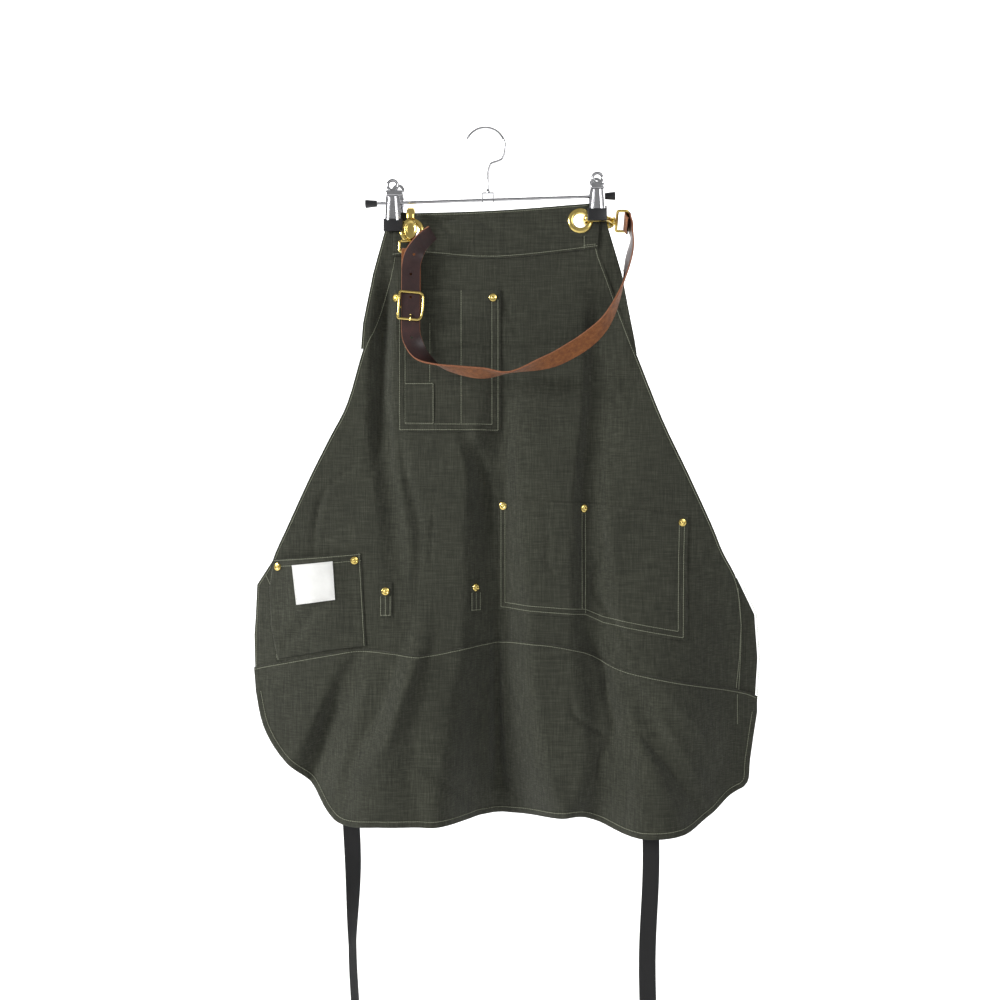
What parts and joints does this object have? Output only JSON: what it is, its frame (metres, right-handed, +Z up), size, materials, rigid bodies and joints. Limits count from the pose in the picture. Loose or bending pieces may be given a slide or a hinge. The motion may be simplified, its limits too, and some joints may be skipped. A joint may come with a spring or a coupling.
{
  "type": "work apron on a clip hanger",
  "caption": "Canvas work apron with riveted pockets and a buckled leather neck strap on snap hooks, hung on a clip hanger.",
  "frame": {"origin": "inside top of the hanger's hook, where a rail carries it", "axes": "+Z up, the apron's front faces -Y, +X to the right as seen from the front"},
  "size_m": [0.7017, 0.1067, 1.2182],
  "materials": {
    "canvas": "matte",
    "label_cloth": "matte",
    "webbing": "matte",
    "leather": "satin",
    "brass": "polished",
    "chrome": "polished",
    "rubber": "matte"
  },
  "bodies": {
    "apron": {"bar_end_left": "rubber", "bar_end_right": "rubber", "bib_pocket": "canvas", "bib_top_band": "canvas", "buckle_frame": "brass", "buckle_strap": "leather", "buckle_tongue": "brass", "clip_left_back_pad": "rubber", "clip_left_back_plate": "chrome", "clip_left_front_pad": "rubber", "clip_left_front_plate": "chrome", "clip_left_runner": "chrome", "clip_left_spring": "chrome", "clip_right_back_pad": "rubber", "clip_right_back_plate": "chrome", "clip_right_front_pad": "rubber", "clip_right_front_plate": "chrome", "clip_right_runner": "chrome", "clip_right_spring": "chrome", "grommet_left": "brass", "grommet_right": "brass", "hanger_bar": "chrome", "hanger_bracket": "chrome", "hanger_hook": "chrome", "hanger_nut": "chrome", "hip_pocket": "canvas", "label": "label_cloth", "lower_panel": "canvas", "main_panel": "canvas", "neck_strap": "leather", "pencil_pocket": "canvas", "rivet_bib_left": "brass", "rivet_bib_right": "brass", "rivet_hip_left": "brass", "rivet_hip_right": "brass", "rivet_loop_left": "brass", "rivet_loop_right": "brass", "rivet_thigh_left": "brass", "rivet_thigh_middle": "brass", "rivet_thigh_right": "brass", "side_facing_left": "canvas", "side_facing_right": "canvas", "skirt_facing_left": "canvas", "skirt_facing_right": "canvas", "snap_eye_left": "brass", "snap_eye_right": "brass", "snap_hook_left": "brass", "snap_hook_right": "brass", "thigh_pocket": "canvas", "tool_loop_left": "canvas", "tool_loop_right": "canvas", "waist_tie_left": "webbing", "waist_tie_right": "webbing"},
    "lever_left": {"snap_lever_left": "brass"},
    "lever_right": {"snap_lever_right": "brass"}
  },
  "joints": [
    {"name": "lever_left", "type": "hinge", "parent": "apron", "child": "lever_left", "pos_m": [-0.10005, -0.0181, -0.1494], "axis": [-1, 0, 0], "range_deg": [0, 14], "stiffness_Nm_per_rad": 0.02},
    {"name": "lever_right", "type": "hinge", "parent": "apron", "child": "lever_right", "pos_m": [0.17388, 0.0181, -0.12318], "axis": [0, 0, 1], "range_deg": [0, 14], "stiffness_Nm_per_rad": 0.02}
  ]
}
